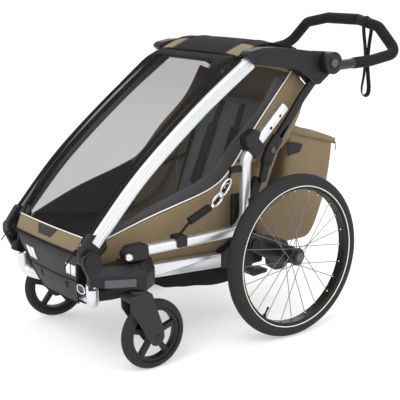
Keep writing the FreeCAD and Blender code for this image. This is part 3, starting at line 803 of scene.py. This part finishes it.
def side_panel(side, label):
    """Brown lower side, a little slack, with a dark sheet inside towards the feet as painted shade."""
    low = [Vector(p) for p in ((-646, 292), (-462, 276), (-204, 263), (-44, 263))]
    high = through([(-648, 330), (-600, 360), (-436, 405), (-259, 445), (-202, 464), (-164, 486),
                    (-122, 528), (-62, 522)], 6)

    def place(y, z, t, v):
        p = P(side * PANEL_X, y, z)
        slack = 3.2 * math.sin(math.pi * v) * math.sin(math.pi * t)
        p.x += side * MM * (slack + 1.6 * noise.noise(Vector((y, z, 7.0)) / 75) * math.sin(math.pi * v))
        return p

    rows = between(low, high, 60, 20, place)
    cloth = fabric("side_cloth_" + label, rows, BROWN, 1.6, "chassis")
    # A dark sheet just inside the front part of the panel: painted shade towards the feet.
    inner = [[p - Vector((side * 2.0 * MM, 0, 0)) for p in row[:38]] for row in rows]
    surface("side_painted_shade_" + label, inner, DARK, "chassis")
    return cloth


def side_panels():
    cloths = [side_panel(side, label) for side, label in SIDES]
    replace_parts(cloths[0], "side_panels")


def rear_cloth():
    """Brown flanks behind the windows and the sloping back wall."""
    flanks = []
    for side, label in SIDES:
        low = through([(y + 3, z - 3) for y, z in PIPING[5:]], 8)
        high = through([(-64, 518), (-5, 524), (70, 562), (126, 640), (150, 704), (152, 742)], 8)
        rows = between(low, high, 30, 8,
                       lambda y, z, t, v: P(side * (194.6 + 0.4 * math.sin(math.pi * v)), y, z))
        flanks.append(fabric("rear_flank_" + label, rows, BROWN, 1.0, "folding_frame", offset=0.0))
    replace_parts(flanks[0], "rear_fabric")
    line = spread(through([(78, 858), (110, 806), (140, 752), (126, 700), (98, 640), (70, 580), (22, 480),
                           (-26, 370), (-46, 296)], 8), 48)
    rows = []
    for i, (y, z) in enumerate(line):
        row = []
        for k in range(33):
            u = k / 16 - 1
            p = P(187 * u, y + 14 * (1 - u * u) * math.sin(math.pi * i / 48) ** 2, z)
            p.y += crumple(p, 5 * MM, 90, 5.0) * (1 - u ** 4)
            row.append(p)
        rows.append(row)
    wall = fabric("back_wall", rows, BROWN, 2.2, offset=0.0)
    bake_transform(wall)
    for side, label in SIDES:
        front = through([(-60, 300), (-62, 400), (-62, 524)], 8)
        back = through([(-42, 300), (12, 450), (78, 592)], 8)
        rows = between(front, back, 20, 8, lambda y, z, t, v: P(side * 188, y, z))
        gusset = fabric("gusset_" + label, rows, BROWN, 1.6)
        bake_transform(gusset)


def roof():
    """One curved sheet: black, with a brown patch at each front corner."""
    line = spread(through(ROOF_LINE, 8), 32)

    def place(u, i, lift=0.0):
        y, z = line[i]
        drop = 5.0 * u ** 6
        crown = 3.0 * (1 - u * u)
        return P(197.0 * u, y, z + crown - drop + lift)

    rows = [[place(k / 33 - 1, i) for k in range(67)] for i in range(33)]
    top = fabric("roof_cloth", rows, BROWN, 2.6)
    paint(top, [BROWN, BLACK_CLOTH], lambda x, y, z: 0 if abs(x) > 128 and -112 < y < -48 else 1)
    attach(top, "folding_frame")
    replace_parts(top, "roof")
    for i, label in ((0, "front"), (32, "rear")):
        edge = [place(k / 40 - 1, i, -0.8) for k in range(81)]
        sweep("roof_edge_" + label, edge, circle(3.4, 10), BLACK_CLOTH, "folding_frame", up=(0, 0, 1))
    for u, label in ((0.66, "left"), (-0.66, "right")):
        seam = [place(u, i, 0.4) for i in range(33)]
        sweep("roof_seam_" + label, seam, circle(1.3, 8), BLACK_CLOTH, "folding_frame")
    for u, label in ((0.985, "left"), (-0.985, "right")):
        seam = [place(u, i, 0.2) for i in range(33)]
        sweep("roof_side_" + label, seam, circle(3.0, 8), BLACK_CLOTH, "folding_frame")


def floor_cloth():
    """Black sling under the feet and the seat."""
    base = through([(-606, 172), (-575, 169), (-440, 169), (-415, 206), (-372, 191), (-270, 176),
                    (-171, 163), (-82, 177)], 6)
    rows = []
    for y, z in spread(base, 60):
        narrow = min(max((y + 440) / 30, 0), 1)
        half = 121 + 66 * narrow
        top = 230 + 31 * narrow
        row = [P(195, y, top)]
        row += [P(195 + (half - 195) * k / 5, y, top + (z - top) * k / 5) for k in range(1, 5)]
        row += [P(half * u / 8, y, z - 3 * (1 - (u / 8) ** 2)) for u in range(8, -9, -1)]
        row += [P(-q.x / MM, y, q.z / MM) for q in row[4::-1]]
        for p in row:
            p.z += crumple(p, 3 * MM, 60, 9.0)
        rows.append(row)
    sling = fabric("floor_sling", rows, BLACK_CLOTH, 2.2, "chassis")
    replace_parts(sling, "floor_tray")


# ---------------------------------------------------------------- cargo bag


def bag_top(y):
    return 618 - 0.27 * (y - 88)


def cargo_bag():
    """One lofted shell that sags, with a lid, seams and a dark patch of painted shade on each side."""
    levels = [(241, 62, 186, 172), (244, 20, 200, 182), (262, -34, 218, 187), (300, -40, 236, 189),
              (340, -40, 252, 189.5), (364, -34, 262, 189.5), (378, 40, 268, 189.5), (396, 86, 273, 190)]
    upper = [(0.1, 88, 276, 190), (0.3, 89, 282, 191), (0.5, 89, 287, 191), (0.7, 89, 291, 191),
             (0.9, 89, 294, 190.5), (1.0, 89, 294, 189)]
    rows = []
    for number, (level, front, rear, half) in enumerate(levels + upper):
        row = []
        middle = (front + rear) / 2
        section = rounded(2 * half, rear - front, min(22.0, (rear - front) / 3), 4)
        fine = spread([Vector(s) for s in section + section[:1]], 120)[:-1]
        for s in fine:
            y = middle + s.y
            z = level if number < len(levels) else 396 + level * (bag_top(y) - 396)
            p = P(s.x, y, z)
            inset = 1 - (abs(s.x) / half) ** 4
            sag = crumple(p, 9 * MM, 85, 2.0) + crumple(p, 4 * MM, 34, 4.0)
            p.y += (sag - 2 * MM) * inset * (1 if s.y > 0 else 0.3)
            side_inset = 1 - (abs(s.y) / ((rear - front) / 2)) ** 4
            p.x += (crumple(p, 5 * MM, 70, 6.0) - 3 * MM) * side_inset * (1 if s.x > 0 else -1)
            row.append(p)
        rows.append(row)
    bottom = sum(rows[0], Vector()) / len(rows[0])
    rows.insert(0, [bottom.lerp(p, 0.5) for p in rows[0]])
    rows.insert(0, [bottom.copy() for p in rows[0]])
    shell = surface("bag_shell", rows, BROWN, closed=True)
    smoother = shell.modifiers.new("smooth", "SUBSURF")
    smoother.levels = 1
    bake(shell)
    thicken(shell, 2.0)
    squash_bag(shell)
    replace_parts(shell, "cargo_bag", "cargo_tray")
    lid(rows[-1])
    for side, label in SIDES:
        bag_side(side, label)


def squash_bag(obj):
    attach(obj, "chassis")
    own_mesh(obj)


def lid(rim):
    """Top flap that laps over the rim."""
    def place(u, v):
        over = max(abs(u) - 0.9, 0) / 0.1
        back = max(v - 0.9, 0) / 0.1
        p = P(min(max(u / 0.9, -1), 1) * 191, 88 + min(v / 0.9, 1) * 207.5,
              bag_top(88 + min(v / 0.9, 1) * 206))
        p.z += 9 * MM * (1 - min(abs(u) / 0.9, 1) ** 2) * math.sin(math.pi * min(v / 0.9, 1))
        p.z += crumple(p, 9 * MM, 65, 8.0) * (1 - max(over, back)) + 2.5 * MM
        p.z -= (over * 20 + back * 24) * MM
        p.x += over * 1.2 * MM * (1 if u > 0 else -1)
        p.y += back * 1.6 * MM
        return p
    rows = [[place(k / 30 - 1, j / 30) for k in range(61)] for j in range(31)]
    top = fabric("bag_lid", rows, BROWN, 1.8)
    squash_bag(top)
    hem = [place(-1, j / 30) for j in range(31)] + [place(k / 30 - 1, 1) for k in range(1, 61)]
    hem += [place(1, 1 - j / 30) for j in range(1, 31)]
    squash_bag(sweep("bag_lid_hem", hem, circle(1.5, 8), BROWN, up=(0, 0, 1)))


def bag_side(side, label):
    """Dark patch on the side of the bag, as painted shade."""
    def place(y, z, t, v):
        return P(side * (191.4 + math.sin(math.pi * v) * math.sin(math.pi * t)), y, z)

    low = through([(90, 524), (116, 527), (142, 531)], 6)
    high = through([(90, 568), (122, 563), (154, 554)], 6)
    squash_bag(fabric("bag_painted_shade_" + label, between(low, high, 14, 8, place), DARK, 1.0))


# ---------------------------------------------------------------- seat


def puff(obj, voxel, pressure, cap):
    """Inflate a closed pad as cloth, keeping each point within cap of where it started."""
    remesh = obj.modifiers.new("remesh", "REMESH")
    remesh.mode = "VOXEL"
    remesh.voxel_size = voxel * MM
    bake(obj)
    start = [v.co.copy() for v in obj.data.vertices]
    cloth = obj.modifiers.new("cloth", "CLOTH")
    cloth.settings.use_pressure = True
    cloth.settings.uniform_pressure_force = pressure
    cloth.settings.effector_weights.gravity = 0.0
    for number in range(1, 21):
        bpy.context.scene.frame_set(number)
    bake(obj)
    bpy.context.scene.frame_set(1)
    for v, rest in zip(obj.data.vertices, start):
        move = v.co - rest
        if move.length > cap * MM:
            v.co = rest + move.normalized() * cap * MM
    smoother = obj.modifiers.new("smooth", "SUBSURF")
    smoother.levels = 1
    bake(obj)
    for polygon in obj.data.polygons:
        polygon.use_smooth = True
    return obj


def seat():
    base = slab("seat_cushion", [(-330, 232), (-338, 296), (-316, 310), (-140, 284), (-106, 284),
                                 (-106, 190), (-171, 176), (-324, 198)], -160, 160, SEAT_CLOTH)
    puff(base, 6.0, 4.0, 9.0)
    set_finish(base, "dark_fabric")
    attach(base, "chassis")
    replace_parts(base, "seat_base")
    back = slab("seat_back_cushion", [(-116, 300), (-100, 300), (48, 652), (55, 696), (42, 698), (29, 660)],
                -160, 160, SEAT_CLOTH)
    puff(back, 6.0, 4.0, 7.0)
    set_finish(back, "dark_fabric")
    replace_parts(back, "seat_back")
    fold_with_frame(back)
    seams = []
    for t in (0.3, 0.55, 0.8):
        y = -117 + 146 * t
        z = 300 + 360 * t
        line = [P(130 * (k / 12 - 1), y - 6.4, z + 2.0) for k in range(25)]
        seams.append(sweep("seat_seam_%d" % (t * 100), line, circle(1.6, 8), SEAT_CLOTH, up=(0, 0, 1)))
    fold_with_frame(join("seat_seams", seams))
    harness()


def fold_with_frame(obj):
    """Bake the object's placement into its mesh."""
    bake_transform(obj)


def harness():
    straps = []
    for x in (62, -62):
        line = through([P(x, -128, 322), P(x, -100, 372), P(x * 0.95, -48, 500), P(x * 0.85, 6, 632),
                        P(x * 0.8, 26, 676)], 8)
        straps.append(sweep("shoulder_%d" % (x + 62), line, rounded(24, 2.4, 1.1, 2), WEBBING))
        pad = through([P(x * 0.97, -86, 420), P(x * 0.93, -42, 526), P(x * 0.88, -10, 606)], 8)
        straps.append(sweep("pad_%d" % (x + 62), pad, rounded(40, 5, 2.3, 3), SEAT_CLOTH, None,
                            "webbing_black"))
    fold_with_frame(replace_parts(join("shoulder_straps", straps), "webbing"))
    lap = through([P(-120, -112, 318), P(-62, -142, 322), P(0, -166, 330), P(62, -142, 322),
                   P(120, -112, 318)], 6)
    sweep("lap_strap", lap, rounded(2.4, 30, 1.1, 2), WEBBING, "chassis", up=(0, 1, 0))
    crotch = through([P(0, -232, 316), P(0, -206, 322), P(0, -176, 336)], 6)
    sweep("crotch_strap", crotch, rounded(34, 2.6, 1.2, 2), WEBBING, "chassis")
    buckle = [(-182, 322), (-186, 340), (-170, 352), (-152, 340), (-156, 326)]
    slab("harness_buckle", buckle, -24, 24, BLACK, "chassis", edge=3.0)


def side_wall(side, label):
    """Inner wall beside the child: dark grey outside, brown inside, with painted shade on the inside towards
    the feet.
    """
    front = through(WALL_EDGE, 8)
    rear = through([(-300, 330), (-180, 350), (-100, 420), (-40, 530), (20, 640), (84, 760)], 8)
    for name, finish, x in (("outer", SEAT_CLOTH, 187.6), ("inner", BROWN, 185.8)):
        rows = between(front, rear, 48, 12,
                       lambda y, z, t, v: P(side * (x - 3.0 * math.sin(math.pi * v)), y, z))
        cloth = fabric("wall_%s_%s" % (name, label), rows, finish, 0.9)
        if name == "inner":
            # Faces of the inner face in front of y = -235 get the dark cloth as painted shade.
            paint(cloth, [BROWN, DARK], lambda x, y, z: 1 if y < -235 else 0)
        fold_with_frame(cloth)


def interior_straps():
    """Thin side straps that brace the cabin cloth."""
    lines = [[(-150, 462), (-60, 482), (20, 495)], [(4, 564), (-34, 450), (-72, 322)]]
    for number, line in enumerate(lines):
        points = [P(-181, y, z) for y, z in through(line, 8)]
        sweep("brace_strap_%d" % number, points, rounded(1.6, 12, 0.7, 1), WEBBING, "chassis")


# ---------------------------------------------------------------- straps and cords


def bag_straps():
    straps = []
    for side in (1, -1):
        line = through([P(side * 180, 104, 612), P(side * 181, 116, 640), P(side * 181, 132, 690)], 6)
        straps.append(sweep("bag_strap_%d" % side, line, rounded(20, 2.2, 1, 2), WEBBING))
    strap = join("bag_straps", straps)
    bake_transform(strap)


def pull_loops():
    """Elastic pulls at the foot of the cover."""
    loops = []
    for side in (1, -1):
        line = through([P(side * 176, -664, 345), P(side * 180, -682, 334), P(side * 183, -699, 316),
                        P(side * 184, -707, 305)], 8)
        loops.append(sweep("pull_%d" % side, line, rounded(4.4, 2.4, 1.1, 3), WEBBING, "folding_frame"))
        stop = [P(side * 175, -659, 347), P(side * 176, -662, 346), P(side * 177, -668, 342),
                P(side * 178, -672, 340)]
        loops.append(sweep("stop_%d" % side, stop, circle(6.5, 12), WEBBING, "folding_frame",
                           size=lambda t: 0.6 + 0.4 * math.sin(math.pi * t)))
    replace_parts(join("pull_loops", loops), "pull_tabs")


def wrist_strap():
    """Twisted webbing loop that hangs from the handlebar."""
    line = []
    for k in range(13):
        a = math.radians(180 - 15 * k)
        line.append(P(118, 504.6 + 18.4 * math.cos(a), 913 + 18.4 * math.sin(a)))
    line += [P(118, 522, 884), P(117, 516, 840), P(119, 509, 790), P(118, 515, 740), P(118, 521, 700)]
    line += [P(118, 518, 678), P(118, 504, 671), P(118, 490, 678)]
    line += [P(118, 487, 700), P(119, 494, 740), P(117, 501, 790), P(119, 494, 840), P(118, 487, 884)]
    loop = through(line + line[:1], 4)[:-1]
    strap = sweep("hand_strap", loop, rounded(15, 2.4, 1.1, 2), WEBBING, "handle", closed=True,
                  turn=lambda t: 0.55 * math.sin(2 * math.pi * t) ** 3)
    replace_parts(strap, "wrist_strap")


def bent(points, radius, count=8):
    """The line with its corners turned into arcs."""
    made = [points[0]]
    for a, b, c in zip(points, points[1:], points[2:]):
        back = (a - b).normalized()
        on = (c - b).normalized()
        half = back.angle(on) / 2
        centre = b + (back + on).normalized() * (radius / math.sin(half))
        start = b + back * (radius / math.tan(half)) - centre
        end = b + on * (radius / math.tan(half)) - centre
        made += [centre + start.slerp(end, k / count).normalized() * radius for k in range(count + 1)]
    return made + [points[-1]]


def handle_sleeves():
    """Soft sleeve on each arm of the handlebar, up to the grip."""
    for side, label in SIDES:
        line = [P(side * x, y, z) for x, y, z in ((254, 300, 802.5), (254, 380, 806), (254, 500, 824),
                                                  (168, 502, 903), (72, 507, 922))]
        sweep("handle_sleeve_" + label, bent(line, 42 * MM), circle(17.6, 24), FOAM, "handle")


def tether():
    """Safety tether of the stowed towing arm: cord, ribbed sleeve and two snap hooks."""
    data = bpy.data.curves.new("tether_line", "CURVE")
    data.dimensions = "3D"
    spline = data.splines.new("NURBS")
    spline.points.add(len(TETHER) - 1)
    for point, place in zip(spline.points, TETHER):
        point.co = (*P(*place), 1)
    spline.order_u = 3
    spline.use_endpoint_u = True
    data.bevel_depth = 4 * MM
    data.bevel_resolution = 4
    data.use_fill_caps = True
    data.materials.append(WEBBING)
    obj = bpy.data.objects.new("tether_line", data)
    bpy.context.scene.collection.objects.link(obj)
    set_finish(obj, "webbing_black")
    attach(obj, "towing_arm")
    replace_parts(obj, "tether_cord")
    sleeve = spread([P(262, -344, 398), P(262, -308, 413), P(262, -272, 428)], 72)
    ribs = sweep("tether_ribs", sleeve, circle(10.2, 16), BLACK, "towing_arm",
                 size=lambda t: 1.0 + 0.22 * math.sin(2 * math.pi * 9 * t))
    hooks = [snap_hook("snap_hook_low", (-262, 430), (-226, 462)),
             snap_hook("snap_hook_high", (-232, 456), (-198, 500))]


def snap_hook(name, start, end):
    """Steel snap hook: an open oval of wire, a gate and a swivel collar."""
    a = P(263, *start)
    b = P(263, *end)
    way = (b - a).normalized()
    across = way.cross(Vector((1, 0, 0)))
    middle = (a + b) / 2
    half = (b - a).length / 2
    loop = []
    for k in range(28):
        t = 2 * math.pi * k / 28
        loop.append(middle + way * (half * math.cos(t)) + across * (12 * MM * math.sin(t)))
    parts = [sweep(name + "_loop", loop, circle(3.3, 10), STEEL, "towing_arm", closed=True)]
    gate = [middle + across * 10.6 * MM - way * half * 0.6, middle + across * 11.4 * MM + way * half * 0.6]
    parts.append(sweep(name + "_gate", gate, circle(2.6, 10), STEEL, "towing_arm"))
    collar = [a - way * 6 * MM, a - way * 4 * MM, a + way * 4 * MM, a + way * 5 * MM]
    parts.append(sweep(name + "_collar", collar, circle(7.2, 14), STEEL, "towing_arm",
                       size=lambda t: 0.8 + 0.2 * math.sin(math.pi * t)))
    return join(name, parts)


# ---------------------------------------------------------------- stage


def stage():
    mesh = bpy.data.meshes.new("floor")
    reach = 120
    mesh.from_pydata([(-reach, -reach, 0), (reach, -reach, 0), (reach, reach, 0), (-reach, reach, 0)], [],
                     [(0, 1, 2, 3)])
    floor = bpy.data.objects.new("floor", mesh)
    bpy.context.scene.collection.objects.link(floor)
    mesh.materials.append(material("floor_white", (0.62, 0.62, 0.62, 1), 0.9, vary=0.004, scale=1.0,
                                   Specular_IOR_Level=0.0, Emission_Color=(1, 1, 1, 1),
                                   Emission_Strength=0.42))
    bpy.context.scene.view_settings.view_transform = "Standard"
    world = bpy.data.worlds.new("studio")
    world.use_nodes = True
    world.node_tree.nodes["Background"].inputs["Color"].default_value = (1, 1, 1, 1)
    world.node_tree.nodes["Background"].inputs["Strength"].default_value = 1.0
    bpy.context.scene.world = world
    for name, place, size, power in (("key", (2.2, -3.2, 4.2), 3.0, 130), ("side", (4.0, 1.0, 2.6), 3.0, 40),
                                     ("back", (-2.6, 3.0, 3.6), 3.0, 50)):
        data = bpy.data.lights.new(name, "AREA")
        data.shape = "DISK"
        data.size = size
        data.energy = power
        lamp = bpy.data.objects.new(name, data)
        lamp.location = place
        lamp.rotation_euler = (Vector((0, 0, 0.4)) - Vector(place)).to_track_quat("-Z", "Y").to_euler()
        bpy.context.scene.collection.objects.link(lamp)


def camera():
    data = bpy.data.cameras.new("camera")
    data.lens = 89.196
    data.sensor_width = 36.0
    obj = bpy.data.objects.new("camera", data)
    obj.location = (2.420183, -1.872163, 1.0981)
    way = Vector((-0.77184781, 0.59258669, -0.23041696))
    obj.rotation_euler = way.to_track_quat("-Z", "Y").to_euler()
    bpy.context.scene.collection.objects.link(obj)
    bpy.context.scene.camera = obj


finish_cad_parts()
for side, label in SIDES:
    tyre(side, label)
    white_line(side, label)
    nipples(side, label)
    bracket_panel(side, label)
    housing_label(side, label)
pillars = [pillar(side, label) for side, label in SIDES]
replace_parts(pillars[0], "pillars")
front_cover()
cover_hem()
front_panel()
side_windows()
side_panels()
rear_cloth()
roof()
floor_cloth()
cargo_bag()
seat()
for side, label in SIDES:
    side_wall(side, label)
interior_straps()
bag_straps()
pull_loops()
wrist_strap()
handle_sleeves()
tether()
stage()
camera()
